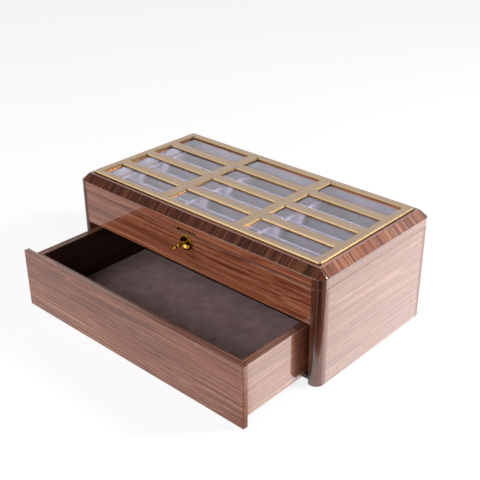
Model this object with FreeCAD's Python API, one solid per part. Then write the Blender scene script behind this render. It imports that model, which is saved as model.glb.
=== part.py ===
import FreeCAD, Part
import math
import os

V = FreeCAD.Vector

# Main sizes in millimetres. X runs to the right, Y to the back and Z up.
# The middle of the cabinet stands at X 0 and Y 0, and the table is at Z 0.
WIDTH = 560.0
DEPTH = 295.0
CORNER_RADIUS = 14.4
WALL = 19.0
BACK_WALL = 12.0
FELT = 0.8
BASE_BOARD = 7.5
UPPER_FRONT_HEIGHT = 63.2
UPPER_FRONT_GAP = 1.2
SHELF_BOARD = 6.0
ARRIS = 0.8

# The lid starts a hair above the cabinet: an upright band, a bevel and a flat border.
LID_GAP = 0.2
BAND_HEIGHT = 16.8
BEVEL_RISE = 12.4
BEVEL_INSET = 14.0
BAND_ARRIS = 1.3
LEDGE_WIDTH = 11.0
LEDGE_BOARD = 6.0
LINING = 0.8
NOTCH_WIDTH = 47.0
NOTCH_HEIGHT = 6.2
NOTCH_DEPTH = 8.0

# The brass window frame lies on the border, and its lip hides the glass edge.
FRAME_THICKNESS = 5.8
FRAME_SUNK = 1.5
FRAME_MARGIN = 5.2
FRAME_LIP = 5.8
FRAME_EDGE = 1.9
FRAME_CORNER = 5.0
GLASS = 2.0
GLASS_PLAY = 0.3
SIDE_BAR = 14.45
FRONT_BAR = 12.1
CROSS_BAR_X = 17.9
CROSS_BAR_Y = 15.6
WINDOW_EDGE = 2.3
WINDOW_RADIUS = 2.0

# The drawer, pulled out as it stands in the picture.
PULLED_OUT = 147.0
FRONT_PLAY = 2.2
FRONT_BOARD = 9.5
FRONT_LOW = 0.9
FRONT_HEIGHT = 109.3
BOX_INSET = 9.8
BOX_DROP = 9.4
BOX_WALL = 13.2
FLOOR_BOARD = 5.0
FLOOR_RAISE = 2.0
FLOOR_SUEDE = 1.5
RUN_GAP = 0.1
GLIDE_STRIP = 0.7
SIDE_PLAY = 0.4
GUIDE_HEIGHT = 31.7
STOP_DEPTH = 13.4
STOP_SIZE = 22.0

# The tray's suede boards above the shelf.
TRAY_FLOOR = 2.0
TRAY_SIDE = 9.0
TRAY_SKIN = 2.0
TRAY_DROP = 0.4
DIVIDER = 8.0

# The hinges at the back.
LEAF = 0.7
HINGE_LENGTH = 45.0
HINGE_DEPTH = 10.0
HINGE_FROM_SIDE = 110.0
KNUCKLE_RADIUS = 2.2
KNUCKLE_COUNT = 5
PIN_RADIUS = 1.0
PIN_FIT = 0.04
KNUCKLE_PLAY = 0.1
SCREW_HEAD = 1.8
SCREW_SHANK = 1.0
SCREW_LENGTH = 8.0
SCREW_PITCH = 16.0

# The lock in the middle of the upper front panel.
LOCK_DROP = 15.1
LOCK_X = 44.0
LOCK_Y = 10.0
LOCK_FROM_FRONT = 10.5
LOCK_BELOW = 11.5
BARREL_RADIUS = 6.0
BARREL_FIT = 0.06
CUP_RADIUS = 13.0
CUP_PROUD = 3.5
CUP_MOUTH = 10.6
PLATE_X = 66.0
PLATE_Y = 12.0
BOLT_TRAVEL = 6.0
BOLT_ABOVE = 6.9
BOLT_THICKNESS = 2.8
EYE_LEFT = -10.0
EYE_RIGHT = 14.0
KEY_SHANK = 1.75
KEY_FIT = 0.08
KEY_OUT = 34.0
KEY_TILT = -41.0

HALF_X = WIDTH / 2
HALF_Y = DEPTH / 2
INNER_X = HALF_X - WALL
FRONT_INNER = -HALF_Y + WALL
BACK_INNER = HALF_Y - BACK_WALL
BASE_TOP = FELT + BASE_BOARD
FRONT_TOP = FRONT_LOW + FRONT_HEIGHT
UPPER_FRONT_LOW = FRONT_TOP + UPPER_FRONT_GAP
CABINET_TOP = UPPER_FRONT_LOW + UPPER_FRONT_HEIGHT
SHELF_TOP = UPPER_FRONT_LOW + SHELF_BOARD
LID_LOW = CABINET_TOP + LID_GAP
BAND_TOP = LID_LOW + BAND_HEIGHT
BEVEL_TOP = BAND_TOP + BEVEL_RISE
LEDGE_TOP = BEVEL_TOP - FRAME_SUNK
LEDGE_LOW = LEDGE_TOP - LEDGE_BOARD
LEDGE_INSET = WALL + LEDGE_WIDTH
FRAME_INSET = BEVEL_INSET + FRAME_MARGIN
FRAME_TOP = LEDGE_TOP + FRAME_THICKNESS
WINDOW_X = (2 * (HALF_X - FRAME_INSET - SIDE_BAR) - 2 * CROSS_BAR_X) / 3
WINDOW_Y = (2 * (HALF_Y - FRAME_INSET - FRONT_BAR) - 3 * CROSS_BAR_Y) / 4
WINDOW_PITCH_X = WINDOW_X + CROSS_BAR_X
WINDOW_PITCH_Y = WINDOW_Y + CROSS_BAR_Y
FRONT_X = INNER_X - FRONT_PLAY
BOX_X = FRONT_X - BOX_INSET
BOX_LOW = BASE_TOP + GLIDE_STRIP + RUN_GAP
BOX_TOP = FRONT_TOP - BOX_DROP
BOX_LENGTH = BACK_INNER - STOP_DEPTH - RUN_GAP + HALF_Y - FRONT_BOARD
TRAY_TOP = CABINET_TOP - TRAY_DROP
HINGE_X = HALF_X - HINGE_FROM_SIDE
AXIS_Y = HALF_Y + KNUCKLE_RADIUS + 0.1
AXIS_Z = (CABINET_TOP + LID_LOW) / 2
LOCK_Z = CABINET_TOP - LOCK_DROP
LOCK_LOW = LOCK_Z - LOCK_BELOW
LOCK_MIDDLE = HALF_Y - LOCK_FROM_FRONT
BOLT_Z = LOCK_Z + BOLT_ABOVE
CUP_FRONT = -HALF_Y - CUP_PROUD


def box(x0, x1, y0, y1, z0, z1):
    return Part.makeBox(x1 - x0, y1 - y0, z1 - z0, V(x0, y0, z0))


def prism(points, direction):
    wire = Part.makePolygon(points + [points[0]])
    return Part.Face(wire).extrude(direction)


def rod(radius, start, end):
    line = end - start
    return Part.makeCylinder(radius, line.Length, start, line)


def moved(shape, x, y, z):
    result = shape.copy()
    result.translate(V(x, y, z))
    return result


def mirror_x(shape):
    return shape.mirror(V(0, 0, 0), V(1, 0, 0))


def mirror_y(shape):
    return shape.mirror(V(0, 0, 0), V(0, 1, 0))


def soften(shape, radius, chosen):
    edges = [edge for edge in shape.Edges if chosen(edge.BoundBox)]
    return shape.makeFillet(radius, edges)


def slope_edges(shape, size, chosen):
    edges = [edge for edge in shape.Edges if chosen(edge.BoundBox)]
    return shape.makeChamfer(size, edges)


def save(name, shape):
    shape.exportStep("parts/" + name + ".step")


def rounded_column(z0, z1):
    # A square post at the front right whose outer corner is a quarter round.
    centre_x = HALF_X - CORNER_RADIUS
    centre_y = -HALF_Y + CORNER_RADIUS
    column = box(INNER_X, HALF_X, -HALF_Y, FRONT_INNER, z0, z1)
    waste = box(centre_x, HALF_X, -HALF_Y, centre_y, z0, z1)
    waste = waste.cut(rod(CORNER_RADIUS, V(centre_x, centre_y, z0), V(centre_x, centre_y, z1)))
    return column.cut(waste)


def is_outer_at(height):
    # Picks the level edges at one height that run along the outside of a corner.
    def chosen(bounds):
        level = abs(bounds.ZMin - height) < 0.01 and abs(bounds.ZMax - height) < 0.01
        outer = bounds.XMax > HALF_X - 0.01 or bounds.YMin < -HALF_Y + 0.01
        inner = bounds.XMin > INNER_X + 0.01 or bounds.YMax < FRONT_INNER - 0.01
        return level and outer and inner
    return chosen


def four_corners(name, shape):
    save(name + "_front_right", shape)
    save(name + "_front_left", mirror_x(shape))
    save(name + "_back_right", mirror_y(shape))
    save(name + "_back_left", mirror_x(mirror_y(shape)))


def cabinet_post():
    post = rounded_column(FELT, CABINET_TOP)
    return soften(post, ARRIS, is_outer_at(CABINET_TOP))


def side_panel():
    panel = box(INNER_X, HALF_X, FRONT_INNER, -FRONT_INNER, FELT, CABINET_TOP)

    def chosen(bounds):
        return bounds.XMin > HALF_X - 0.01 and bounds.ZMin > CABINET_TOP - 0.01
    return soften(panel, ARRIS, chosen)


def hinge_screws(level, up):
    # Flat heads sit flush in the leaf and the shanks go into the wood.
    screws = []
    step = SCREW_LENGTH if up else -SCREW_LENGTH
    sink = LEAF if up else -LEAF
    y = HALF_Y - HINGE_DEPTH / 2
    for side in (-1, 1):
        for place in (-1, 0, 1):
            x = side * HINGE_X + place * SCREW_PITCH
            head = Part.makeCone(SCREW_HEAD, SCREW_SHANK, LEAF, V(x, y, level), V(0, 0, sink))
            shank = rod(SCREW_SHANK, V(x, y, level + sink), V(x, y, level + step))
            screws.append(head.fuse(shank).removeSplitter())
    return Part.makeCompound(screws)


def leaf_recess(side, z0, z1):
    half = HINGE_LENGTH / 2
    x = side * HINGE_X
    return box(x - half, x + half, HALF_Y - HINGE_DEPTH, HALF_Y + 5, z0, z1)


def hinge_leaf(side, z0, z1, places):
    # A thin leaf whose knuckles wrap the pin behind the back panel.
    half = HINGE_LENGTH / 2
    x = side * HINGE_X
    step = HINGE_LENGTH / KNUCKLE_COUNT
    leaf = box(x - half, x + half, HALF_Y - HINGE_DEPTH, HALF_Y, z0, z1)
    for place in places:
        start = x - half + place * step + KNUCKLE_PLAY
        end = start + step - 2 * KNUCKLE_PLAY
        leaf = leaf.fuse(box(start, end, HALF_Y - 1, AXIS_Y, z0, z1))
        leaf = leaf.fuse(rod(KNUCKLE_RADIUS, V(start, AXIS_Y, AXIS_Z), V(end, AXIS_Y, AXIS_Z)))
    bore = rod(PIN_RADIUS, V(x - half, AXIS_Y, AXIS_Z), V(x + half, AXIS_Y, AXIS_Z))
    return leaf.cut(bore).removeSplitter()


def hinge_pins():
    half = HINGE_LENGTH / 2
    pins = []
    for side in (-1, 1):
        x = side * HINGE_X
        radius = PIN_RADIUS - PIN_FIT
        pins.append(rod(radius, V(x - half, AXIS_Y, AXIS_Z), V(x + half, AXIS_Y, AXIS_Z)))
    return Part.makeCompound(pins)


def back_panel():
    panel = box(-INNER_X, INNER_X, BACK_INNER, HALF_Y, FELT, CABINET_TOP)

    def chosen(bounds):
        return bounds.YMin > HALF_Y - 0.01 and bounds.ZMin > CABINET_TOP - 0.01
    panel = soften(panel, ARRIS, chosen)
    for side in (-1, 1):
        panel = panel.cut(leaf_recess(side, CABINET_TOP - LEAF, CABINET_TOP + 1))
    return panel.cut(hinge_screws(CABINET_TOP, False))


def lock_pocket():
    low = box(-LOCK_X / 2, LOCK_X / 2, -LOCK_MIDDLE - LOCK_Y / 2, -LOCK_MIDDLE + LOCK_Y / 2,
              LOCK_LOW, CABINET_TOP)
    plate = box(-PLATE_X / 2, PLATE_X / 2, -LOCK_MIDDLE - PLATE_Y / 2, -LOCK_MIDDLE + PLATE_Y / 2,
                CABINET_TOP - LEAF, CABINET_TOP)
    return low.fuse(plate)


def front_panel():
    panel = box(-INNER_X, INNER_X, -HALF_Y, FRONT_INNER, UPPER_FRONT_LOW, CABINET_TOP)

    def chosen(bounds):
        return bounds.YMax < -HALF_Y + 0.01 and bounds.ZMin > CABINET_TOP - 0.01
    panel = soften(panel, ARRIS, chosen)
    panel = panel.cut(lock_pocket())
    hole = rod(BARREL_RADIUS + BARREL_FIT, V(0, -HALF_Y, LOCK_Z), V(0, -LOCK_MIDDLE, LOCK_Z))
    return panel.cut(hole)


def cabinet_boards():
    save("base_felt", box(-HALF_X + 3, HALF_X - 3, -HALF_Y + 12, HALF_Y - 3, 0, FELT))
    front = -HALF_Y + FRONT_BOARD + SIDE_PLAY
    save("base_panel", box(-INNER_X, INNER_X, front, BACK_INNER, FELT, BASE_TOP))
    save("tray_shelf", box(-INNER_X, INNER_X, FRONT_INNER, BACK_INNER, UPPER_FRONT_LOW, SHELF_TOP))
    save("side_panel_right", side_panel())
    save("side_panel_left", mirror_x(side_panel()))
    save("back_panel", back_panel())
    save("upper_front_panel", front_panel())
    four_corners("corner_post", cabinet_post())


def drawer_runners():
    # Guides keep the box straight, kickers stop it tipping, strips carry it.
    guide = box(BOX_X + SIDE_PLAY, INNER_X, FRONT_INNER, -FRONT_INNER, BASE_TOP, BASE_TOP + GUIDE_HEIGHT)
    kicker_low = BOX_TOP + SIDE_PLAY
    kicker = box(BOX_X - BOX_WALL, INNER_X, FRONT_INNER, -FRONT_INNER, kicker_low, UPPER_FRONT_LOW)
    strip_front = -HALF_Y + FRONT_BOARD + BOX_WALL
    strip = box(BOX_X - BOX_WALL, BOX_X, strip_front, -FRONT_INNER, BASE_TOP, BOX_LOW - RUN_GAP)
    stop_front = BACK_INNER - STOP_DEPTH
    stop_x = BOX_X - BOX_WALL - STOP_SIZE
    stop = box(stop_x, stop_x + STOP_SIZE, stop_front, BACK_INNER, BASE_TOP, BASE_TOP + STOP_SIZE)
    save("drawer_guide_right", guide)
    save("drawer_guide_left", mirror_x(guide))
    save("drawer_kicker_right", kicker)
    save("drawer_kicker_left", mirror_x(kicker))
    save("glide_strips", Part.makeCompound([strip, mirror_x(strip)]))
    save("drawer_stops", Part.makeCompound([stop, mirror_x(stop)]))


def tray_floor_z():
    return SHELF_TOP + TRAY_FLOOR


def tray_span():
    return [INNER_X - TRAY_SIDE, FRONT_INNER + TRAY_SKIN, BACK_INNER - TRAY_SKIN]


def row_places():
    reach, front, back = tray_span()
    middle = (front + back) / 2
    return [middle - WINDOW_PITCH_Y, middle, middle + WINDOW_PITCH_Y]


def column_places():
    # Three compartments of equal width between the side linings.
    reach, front, back = tray_span()
    place = (reach - DIVIDER) / 3 + DIVIDER / 2
    return [-place, place]


def row_divider(y):
    reach, front, back = tray_span()
    z0 = tray_floor_z()
    board = box(-reach, reach, y - DIVIDER / 2, y + DIVIDER / 2, z0, TRAY_TOP)

    def chosen(bounds):
        return bounds.ZMin > TRAY_TOP - 0.01 and bounds.XLength > DIVIDER
    board = soften(board, DIVIDER / 2 - 0.4, chosen)
    middle = (z0 + TRAY_TOP) / 2
    for x in column_places():
        board = board.cut(box(x - DIVIDER / 2, x + DIVIDER / 2, y - DIVIDER, y + DIVIDER,
                              middle, TRAY_TOP + 1))
    return board


def column_divider(x):
    reach, front, back = tray_span()
    z0 = tray_floor_z()
    board = box(x - DIVIDER / 2, x + DIVIDER / 2, front, back, z0, TRAY_TOP)

    def chosen(bounds):
        return bounds.ZMin > TRAY_TOP - 0.01 and bounds.YLength > DIVIDER
    board = soften(board, DIVIDER / 2 - 0.4, chosen)
    middle = (z0 + TRAY_TOP) / 2
    for y in row_places():
        board = board.cut(box(x - DIVIDER, x + DIVIDER, y - DIVIDER / 2, y + DIVIDER / 2,
                              z0 - 1, middle))
    return board


def tray():
    reach, front, back = tray_span()
    z0 = tray_floor_z()
    side = box(reach, INNER_X, FRONT_INNER, BACK_INNER, z0, TRAY_TOP)
    save("tray_floor_lining", box(-INNER_X, INNER_X, FRONT_INNER, BACK_INNER, SHELF_TOP, z0))
    save("tray_lining_right", side)
    save("tray_lining_left", mirror_x(side))
    save("tray_lining_front", box(-reach, reach, FRONT_INNER, front, z0, TRAY_TOP))
    save("tray_lining_back", box(-reach, reach, back, BACK_INNER, z0, TRAY_TOP))
    for number, y in enumerate(row_places()):
        save("row_divider_" + str(number + 1), row_divider(y))
    left, right = column_places()
    save("column_divider_left", column_divider(left))
    save("column_divider_right", column_divider(right))


def drawer():
    back = -PULLED_OUT - HALF_Y + FRONT_BOARD
    face = box(-FRONT_X, FRONT_X, back - FRONT_BOARD, back, FRONT_LOW, FRONT_TOP)

    def chosen(bounds):
        return bounds.YMax < back - FRONT_BOARD + 0.01
    face = soften(face, ARRIS, chosen)
    inner = BOX_X - BOX_WALL
    end = back + BOX_LENGTH
    corner = back + BOX_WALL
    rise = V(0, 0, BOX_TOP - BOX_LOW)
    outline = [V(BOX_X, back, BOX_LOW), V(BOX_X, end, BOX_LOW),
               V(inner, end, BOX_LOW), V(inner, corner, BOX_LOW)]
    side = prism(outline, rise)
    outline = [V(-BOX_X, back, BOX_LOW), V(BOX_X, back, BOX_LOW),
               V(inner, corner, BOX_LOW), V(-inner, corner, BOX_LOW)]
    sub_front = prism(outline, rise)
    floor_low = BOX_LOW + FLOOR_RAISE
    floor_top = floor_low + FLOOR_BOARD
    save("drawer_front", face)
    save("drawer_sub_front", sub_front)
    save("drawer_side_right", side)
    save("drawer_side_left", mirror_x(side))
    save("drawer_back", box(-inner, inner, end - BOX_WALL, end, BOX_LOW, BOX_TOP))
    save("drawer_bottom", box(-inner, inner, corner, end - BOX_WALL, floor_low, floor_top))
    save("drawer_suede", box(-inner, inner, corner, end - BOX_WALL, floor_top, floor_top + FLOOR_SUEDE))


def long_rail():
    # The front rail: an upright band, a bevel and the flat border on top.
    points = [V(-INNER_X, FRONT_INNER, LID_LOW), V(-INNER_X, -HALF_Y, LID_LOW),
              V(-INNER_X, -HALF_Y, BAND_TOP), V(-INNER_X, -HALF_Y + BEVEL_INSET, BEVEL_TOP),
              V(-INNER_X, FRONT_INNER, BEVEL_TOP)]
    rail = prism(points, V(2 * INNER_X, 0, 0))

    def low_edge(bounds):
        return bounds.YMax < -HALF_Y + 0.01 and bounds.ZMax < LID_LOW + 0.01 and bounds.XLength > WALL

    def band_edge(bounds):
        return bounds.YMax < -HALF_Y + 0.01 and bounds.ZMin > BAND_TOP - 0.01
    return soften(soften(rail, ARRIS, low_edge), BAND_ARRIS, band_edge)


def finger_notch():
    end = NOTCH_HEIGHT / 2
    x = NOTCH_WIDTH / 2 - end
    z = LID_LOW + end
    front = -HALF_Y - 1
    back = -HALF_Y + NOTCH_DEPTH
    notch = box(-x, x, front, back, LID_LOW - 1, LID_LOW + NOTCH_HEIGHT)
    for side in (-x, x):
        notch = notch.fuse(rod(end, V(side, front, z), V(side, back, z)))
        notch = notch.fuse(box(side - end, side + end, front, back, LID_LOW - 1, z))
    return notch.removeSplitter()


def front_rail():
    rail = long_rail().cut(finger_notch())
    plate = box(-PLATE_X / 2, PLATE_X / 2, -LOCK_MIDDLE - PLATE_Y / 2, -LOCK_MIDDLE + PLATE_Y / 2,
                LID_LOW, LID_LOW + LEAF)
    return rail.cut(plate)


def back_rail():
    rail = mirror_y(long_rail())
    for side in (-1, 1):
        rail = rail.cut(leaf_recess(side, LID_LOW - 1, LID_LOW + LEAF))
    return rail.cut(hinge_screws(LID_LOW, True))


def side_rail():
    points = [V(INNER_X, FRONT_INNER, LID_LOW), V(HALF_X, FRONT_INNER, LID_LOW),
              V(HALF_X, FRONT_INNER, BAND_TOP), V(HALF_X - BEVEL_INSET, FRONT_INNER, BEVEL_TOP),
              V(INNER_X, FRONT_INNER, BEVEL_TOP)]
    rail = prism(points, V(0, -2 * FRONT_INNER, 0))

    def low_edge(bounds):
        return bounds.XMin > HALF_X - 0.01 and bounds.ZMax < LID_LOW + 0.01 and bounds.YLength > WALL

    def band_edge(bounds):
        return bounds.XMin > HALF_X - 0.01 and bounds.ZMin > BAND_TOP - 0.01
    return soften(soften(rail, ARRIS, low_edge), BAND_ARRIS, band_edge)


def lid_corner():
    # The bevel turns the corner as a part of a cone that meets the mitre line.
    centre_x = HALF_X - CORNER_RADIUS
    centre_y = -HALF_Y + CORNER_RADIUS
    slope = (BEVEL_TOP - BAND_TOP) / BEVEL_INSET
    block = box(INNER_X, HALF_X, -HALF_Y, FRONT_INNER, LID_LOW, BEVEL_TOP)
    side_waste = [V(HALF_X, -HALF_Y, BAND_TOP), V(HALF_X - BEVEL_INSET, -HALF_Y, BEVEL_TOP),
                  V(HALF_X, -HALF_Y, BEVEL_TOP)]
    front_waste = [V(HALF_X, -HALF_Y, BAND_TOP), V(HALF_X, -HALF_Y + BEVEL_INSET, BEVEL_TOP),
                   V(HALF_X, -HALF_Y, BEVEL_TOP)]
    block = block.cut(prism(side_waste, V(0, WALL, 0)))
    block = block.cut(prism(front_waste, V(-WALL, 0, 0)))
    waste = box(centre_x, HALF_X, -HALF_Y, centre_y, LID_LOW, BEVEL_TOP)
    upright = rod(CORNER_RADIUS, V(centre_x, centre_y, LID_LOW), V(centre_x, centre_y, BAND_TOP))
    cone = Part.makeCone(CORNER_RADIUS, 0, CORNER_RADIUS * slope, V(centre_x, centre_y, BAND_TOP))
    block = block.cut(waste.cut(upright.fuse(cone)))
    block = soften(block, BAND_ARRIS, is_outer_at(BAND_TOP))
    return soften(block, ARRIS, is_outer_at(LID_LOW))


def glass_ledge():
    x = HALF_X - LEDGE_INSET
    y = HALF_Y - LEDGE_INSET
    long_strip = box(-INNER_X, INNER_X, FRONT_INNER, -y, LEDGE_LOW, LEDGE_TOP)
    side_strip = box(x, INNER_X, -y, y, LEDGE_LOW, LEDGE_TOP)
    strips = [long_strip, mirror_y(long_strip), side_strip, mirror_x(side_strip)]
    return Part.makeCompound(strips)


def lid_lining():
    y = -FRONT_INNER
    long_skin = box(-INNER_X, INNER_X, -y, -y + LINING, LID_LOW + 1, LEDGE_LOW)
    side_skin = box(INNER_X - LINING, INNER_X, -y + LINING, y - LINING, LID_LOW + 1, LEDGE_LOW)
    skins = [long_skin, mirror_y(long_skin), side_skin, mirror_x(side_skin)]
    return Part.makeCompound(skins)


def window_hole(x, y):
    half_x = WINDOW_X / 2 - WINDOW_EDGE
    half_y = WINDOW_Y / 2 - WINDOW_EDGE
    hole = box(-half_x, half_x, -half_y, half_y, LEDGE_TOP - 1, FRAME_TOP + 1)

    def upright(bounds):
        return bounds.ZLength > FRAME_THICKNESS
    return moved(soften(hole, WINDOW_RADIUS, upright), x, y, 0)


def window_frame():
    # A brass sheet, let into the border, with round corners and a sloped edge outside
    # and in each window.
    x = HALF_X - FRAME_INSET
    y = HALF_Y - FRAME_INSET
    sheet = box(-x, x, -y, y, LEDGE_TOP, FRAME_TOP)

    def upright(bounds):
        return bounds.ZLength > FRAME_THICKNESS - 0.01

    def at_top(bounds):
        return bounds.ZMin > FRAME_TOP - 0.01
    sheet = soften(sheet, FRAME_CORNER, upright)
    sheet = slope_edges(sheet, FRAME_EDGE, at_top)
    x = x - FRAME_LIP
    y = y - FRAME_LIP
    sheet = sheet.cut(box(-x, x, -y, y, LEDGE_TOP - 1, LEDGE_TOP + GLASS))
    for column in (-1, 0, 1):
        for row in (-1.5, -0.5, 0.5, 1.5):
            sheet = sheet.cut(window_hole(column * WINDOW_PITCH_X, row * WINDOW_PITCH_Y))

    def around_window(bounds):
        inside_x = bounds.XMin > -x and bounds.XMax < x
        inside_y = bounds.YMin > -y and bounds.YMax < y
        return at_top(bounds) and inside_x and inside_y
    return slope_edges(sheet, WINDOW_EDGE, around_window).removeSplitter()


def glass_pane():
    x = HALF_X - FRAME_INSET - FRAME_LIP - GLASS_PLAY
    y = HALF_Y - FRAME_INSET - FRAME_LIP - GLASS_PLAY
    return box(-x, x, -y, y, LEDGE_TOP, LEDGE_TOP + GLASS)


def lid():
    save("lid_rail_front", front_rail())
    save("lid_rail_back", back_rail())
    save("lid_rail_right", side_rail())
    save("lid_rail_left", mirror_x(side_rail()))
    four_corners("lid_corner", lid_corner())
    save("glass_ledge", glass_ledge())
    save("lid_lining", lid_lining())
    save("window_frame", window_frame())
    save("glass_pane", glass_pane())


def hinges():
    for side, name in ((-1, "left"), (1, "right")):
        low_leaf = hinge_leaf(side, CABINET_TOP - LEAF, CABINET_TOP, (0, 2, 4))
        high_leaf = hinge_leaf(side, LID_LOW, LID_LOW + LEAF, (1, 3))
        save("hinge_leaf_cabinet_" + name, low_leaf.cut(hinge_screws(CABINET_TOP, False)))
        save("hinge_leaf_lid_" + name, high_leaf.cut(hinge_screws(LID_LOW, True)))
    save("hinge_pins", hinge_pins())
    save("cabinet_screws", hinge_screws(CABINET_TOP, False))
    save("lid_screws", hinge_screws(LID_LOW, True))


def staple(x):
    # A tab on the lid plate with an eye that the bolt's prong enters.
    y = -LOCK_MIDDLE
    tab = box(x, x + 2, y - 2.5, y + 2.5, BOLT_Z + 2.6, LID_LOW)
    return tab.cut(box(x - 1, x + 3, y - 1.7, y + 1.7, BOLT_Z + 3.2, BOLT_Z + 5.8))


def link_plate():
    y = -LOCK_MIDDLE
    plate = box(-PLATE_X / 2, PLATE_X / 2, y - PLATE_Y / 2, y + PLATE_Y / 2, LID_LOW, LID_LOW + LEAF)
    for x in (EYE_LEFT, EYE_RIGHT):
        plate = plate.fuse(staple(x))
    return plate.removeSplitter()


def lock_bolt():
    # A bar with two hooked prongs that slide into the staples' eyes.
    front = -LOCK_MIDDLE - BOLT_THICKNESS / 2
    back = front + BOLT_THICKNESS
    reach = BOLT_TRAVEL + 3
    bolt = box(EYE_LEFT - reach, EYE_RIGHT - reach + 4, front, back, BOLT_Z, BOLT_Z + 2)
    for x in (EYE_LEFT, EYE_RIGHT):
        bolt = bolt.fuse(box(x - reach, x - reach + 2, front, back, BOLT_Z, BOLT_Z + 5.5))
        bolt = bolt.fuse(box(x - reach, x - 0.5, front, back, BOLT_Z + 3.5, BOLT_Z + 5.5))
    return bolt.removeSplitter()


def lock_case():
    y = -LOCK_MIDDLE
    half = LOCK_Y / 2
    case = box(-LOCK_X / 2, LOCK_X / 2, y - half, y + half, LOCK_LOW, CABINET_TOP - LEAF)
    case = case.cut(rod(BARREL_RADIUS + BARREL_FIT, V(0, y - half - 1, LOCK_Z), V(0, y + half - 1, LOCK_Z)))
    return case.cut(box(-LOCK_X / 2 + 1.5, LOCK_X / 2 - 1.5, y - 3, y + 3, BOLT_Z - 0.1, CABINET_TOP))


def lock_selvedge():
    y = -LOCK_MIDDLE
    plate = box(-PLATE_X / 2, PLATE_X / 2, y - PLATE_Y / 2, y + PLATE_Y / 2, CABINET_TOP - LEAF, CABINET_TOP)
    for x in (EYE_LEFT, EYE_RIGHT):
        plate = plate.cut(box(x - 0.6, x + 2.6, y - 3.1, y + 3.1, CABINET_TOP - 2, CABINET_TOP + 1))
    return plate


def escutcheon_cup():
    cup = rod(CUP_RADIUS, V(0, CUP_FRONT, LOCK_Z), V(0, -HALF_Y, LOCK_Z))

    def rim(bounds):
        return bounds.YMax < CUP_FRONT + 0.01
    cup = soften(cup, 1.0, rim)
    dish = Part.makeCone(CUP_MOUTH, BARREL_RADIUS, CUP_PROUD - 0.6, V(0, CUP_FRONT, LOCK_Z), V(0, 1, 0))
    cup = cup.cut(dish)
    return cup.cut(rod(BARREL_RADIUS + BARREL_FIT, V(0, CUP_FRONT - 1, LOCK_Z), V(0, -HALF_Y + 1, LOCK_Z)))


def keyway():
    # The barrel's bore with a side slot that lets the key's bit pass.
    front = CUP_FRONT - 2
    back = -LOCK_MIDDLE + LOCK_Y / 2 - 3
    hole = rod(KEY_SHANK + KEY_FIT, V(0, front, LOCK_Z), V(0, back, LOCK_Z))
    slot = box(0, 4.8, front, back, LOCK_Z - 0.9, LOCK_Z + 0.9)
    slot.rotate(V(0, 0, LOCK_Z), V(0, 1, 0), KEY_TILT)
    return hole.fuse(slot).removeSplitter()


def lock_barrel():
    start = V(0, CUP_FRONT + CUP_PROUD - 1.0, LOCK_Z)
    end = V(0, -LOCK_MIDDLE + LOCK_Y / 2 - 1, LOCK_Z)
    return rod(BARREL_RADIUS, start, end).cut(keyway())


def key():
    # Shank, bit and a flat bow with one hole, tilted as in the picture.
    tip = -LOCK_MIDDLE + LOCK_Y / 2 - 3.2
    bow_end = -HALF_Y - KEY_OUT
    bow_middle = bow_end + 8.5
    shank = rod(KEY_SHANK, V(0, bow_end + 14, LOCK_Z), V(0, tip, LOCK_Z))
    collar = rod(KEY_SHANK + 1, V(0, bow_end + 15.5, LOCK_Z), V(0, bow_end + 18, LOCK_Z))
    bit = box(0, 4.5, tip - 4, tip, LOCK_Z - 0.75, LOCK_Z + 0.75)
    bow = rod(8.5, V(0, bow_middle, LOCK_Z - 1.3), V(0, bow_middle, LOCK_Z + 1.3))
    hole = rod(4.6, V(0, bow_middle - 0.6, LOCK_Z - 2), V(0, bow_middle - 0.6, LOCK_Z + 2))
    result = shank.fuse(collar).fuse(bit).fuse(bow).cut(hole).removeSplitter()
    result.rotate(V(0, 0, LOCK_Z), V(0, 1, 0), KEY_TILT)
    return result


def lock():
    save("lock_case", lock_case())
    save("lock_selvedge", lock_selvedge())
    save("escutcheon_cup", escutcheon_cup())
    save("link_plate", link_plate())
    save("lock_bolt", lock_bolt())
    save("lock_barrel", lock_barrel())
    save("key", key())


os.makedirs("parts", exist_ok=True)
cabinet_boards()
drawer_runners()
tray()
drawer()
lid()
hinges()
lock()
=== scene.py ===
import bpy
import math
from mathutils import Matrix, Vector, noise as field


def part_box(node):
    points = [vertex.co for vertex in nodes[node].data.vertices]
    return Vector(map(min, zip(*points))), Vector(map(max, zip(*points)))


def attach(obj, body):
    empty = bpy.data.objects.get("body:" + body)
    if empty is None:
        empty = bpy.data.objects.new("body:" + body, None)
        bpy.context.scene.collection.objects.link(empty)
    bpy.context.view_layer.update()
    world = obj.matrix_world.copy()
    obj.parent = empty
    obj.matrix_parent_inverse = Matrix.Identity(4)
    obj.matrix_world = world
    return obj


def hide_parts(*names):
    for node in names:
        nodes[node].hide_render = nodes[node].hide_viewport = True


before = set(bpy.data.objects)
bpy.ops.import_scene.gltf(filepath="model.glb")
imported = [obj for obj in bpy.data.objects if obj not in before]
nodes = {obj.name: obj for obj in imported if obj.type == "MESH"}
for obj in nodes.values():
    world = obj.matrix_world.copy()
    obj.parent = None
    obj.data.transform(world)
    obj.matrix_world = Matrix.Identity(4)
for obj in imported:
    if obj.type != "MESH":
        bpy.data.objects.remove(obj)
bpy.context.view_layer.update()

# The axes by number, and the places that the patterns of the wood follow, in metres.
X, Y, Z = range(3)
POST_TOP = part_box("corner_post_front_right")[1][Z]
LID_CORNER_LOW, LID_CORNER_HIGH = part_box("lid_corner_front_right")
FRONT_FACE = LID_CORNER_LOW[Y]
LID_LOW = LID_CORNER_LOW[Z]
LID_JOINT = (POST_TOP + LID_LOW) / 2
BAND_HEIGHT = 0.0165
BAND_TOP = LID_LOW + BAND_HEIGHT
BEVEL_TOP = LID_CORNER_HIGH[Z] - 0.0002
CORNER_RADIUS = 0.0144
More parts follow.
